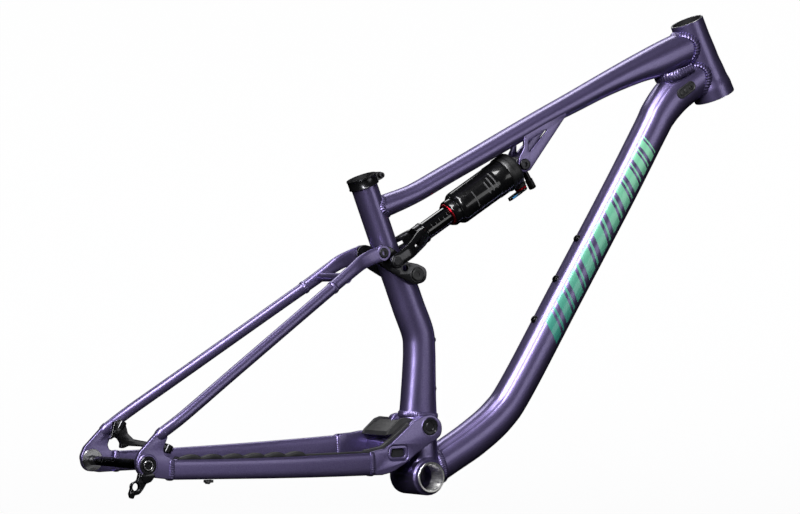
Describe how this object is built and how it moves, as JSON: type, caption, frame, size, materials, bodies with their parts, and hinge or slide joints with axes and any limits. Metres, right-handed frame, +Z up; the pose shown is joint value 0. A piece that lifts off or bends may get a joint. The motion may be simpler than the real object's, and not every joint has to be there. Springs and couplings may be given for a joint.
{
  "type": "full-suspension mountain bicycle frame",
  "caption": "Full-suspension mountain bicycle frame with rocker link, flexing seatstays, air shock with yoke, tapered head tube, threaded bottom bracket and thru-axle dropouts.",
  "frame": {"origin": "centre of the bottom bracket bore, on the frame's middle plane", "axes": "+X forward to the head tube, +Y left along the bottom bracket axis, +Z up"},
  "size_m": [0.9719, 0.1706, 0.6372],
  "materials": {
    "frame_paint": "metallic violet under a glossy clear coat",
    "black_anodised": "satin black anodised",
    "black_steel": "blackened",
    "bare_metal": "machined",
    "black_plastic": "fine matte",
    "guard_rubber": "moulded, satin",
    "shock_black": "gloss black anodised",
    "shaft_black": "polished black",
    "shock_grey": "satin dark grey",
    "knob_red": "red anodised",
    "ring_red": "smooth"
  },
  "bodies": {
    "front_triangle": {"head_tube": "frame_paint", "top_tube": "frame_paint", "down_tube": "frame_paint", "seat_tube": "frame_paint", "bb_shell": "frame_paint", "rocker_pivot_boss": "frame_paint", "shock_mount": "frame_paint", "seat_collar": "black_anodised", "seat_collar_bolt": "black_steel", "cable_port_cover": "black_plastic", "cable_port_screw": "black_steel", "bottle_bolts": "black_steel", "main_pivot_bearings": "bare_metal", "rocker_pivot_bolts": "black_steel", "shock_front_bolt": "black_steel"},
    "swingarm": {"chainstay_left": "frame_paint", "chainstay_right": "frame_paint", "chainstay_arm_left": "frame_paint", "chainstay_arm_right": "frame_paint", "chainstay_bridge": "frame_paint", "main_pivot_axle": "bare_metal", "main_pivot_caps": "black_anodised", "dropout_left": "frame_paint", "dropout_right": "frame_paint", "thru_axle": "black_steel", "axle_nut": "black_anodised", "derailleur_hanger": "black_anodised", "brake_bracket": "black_anodised", "brake_bracket_bolts": "black_steel", "chainstay_guard": "guard_rubber", "mud_guard": "black_plastic", "cable_clip": "black_plastic"},
    "seatstays": {"seatstay_left": "frame_paint", "seatstay_right": "frame_paint", "seatstay_bridge": "frame_paint", "seatstay_pivot_bolts": "black_steel"},
    "rocker": {"rocker_left": "black_anodised", "rocker_right": "black_anodised", "rocker_bearings": "bare_metal", "rocker_rear_bushes": "bare_metal"},
    "shock_can": {"shock_head": "shock_grey", "shock_air_can": "shock_black", "shock_bush": "bare_metal", "air_valve": "bare_metal", "adjuster_housing": "shock_black"},
    "shock_shaft": {"shock_shaft": "shaft_black", "shock_piston": "bare_metal", "shock_yoke": "black_anodised", "yoke_pivot_bolts": "black_steel"},
    "rebound_knob": {"rebound_knob": "knob_red"},
    "lockout_lever": {"lockout_lever": "shock_black"},
    "travel_ring": {"travel_ring": "ring_red"}
  },
  "joints": [
    {"name": "swingarm_pivot", "type": "hinge", "parent": "front_triangle", "child": "swingarm", "pos_m": [-0.0055, 0, 0.0663], "axis": [0, 1, 0], "range_deg": [0, 14.5], "stiffness_Nm_per_rad": 60, "springref_deg": -2.86},
    {"name": "seatstay_flex", "type": "hinge", "parent": "swingarm", "child": "seatstays", "pos_m": [-0.411, 0, 0.0761], "axis": [0, 1, 0], "range_deg": [-4.23, 0]},
    {"name": "rocker_pivot", "type": "hinge", "parent": "front_triangle", "child": "rocker", "pos_m": [-0.0105, 0, 0.2645], "axis": [0, 1, 0], "range_deg": [0, 57]},
    {"name": "shock_front_pivot", "type": "hinge", "parent": "front_triangle", "child": "shock_can", "pos_m": [0.162, 0, 0.408], "axis": [0, 1, 0], "range_deg": [0, 1.87]},
    {"name": "shock_stroke", "type": "slide", "parent": "shock_can", "child": "shock_shaft", "axis": [0.857, 0, 0.5153], "range_m": [0, 0.0386]},
    {"name": "travel_ring_slide", "type": "slide", "parent": "shock_can", "child": "travel_ring", "axis": [-0.857, 0, -0.5153], "range_m": [0, 0.0025]},
    {"name": "lockout_lever_turn", "type": "hinge", "parent": "shock_can", "child": "lockout_lever", "pos_m": [0.1517, 0, 0.4018], "axis": [0.5153, 0, -0.857], "range_deg": [0, 80]},
    {"name": "rebound_knob_turn", "type": "hinge", "parent": "shock_can", "child": "rebound_knob", "pos_m": [0.1517, 0, 0.4018], "axis": [0.5153, 0, -0.857], "range_deg": [0, 330]}
  ],
  "couplings": [
    {"joint": "seatstay_flex", "follows": "swingarm_pivot", "ratio": -0.29125},
    {"joint": "rocker_pivot", "follows": "swingarm_pivot", "ratio": 3.9273},
    {"joint": "shock_front_pivot", "follows": "swingarm_pivot", "ratio": 0.12854},
    {"joint": "shock_stroke", "follows": "swingarm_pivot", "m_per_rad": 0.15211}
  ]
}
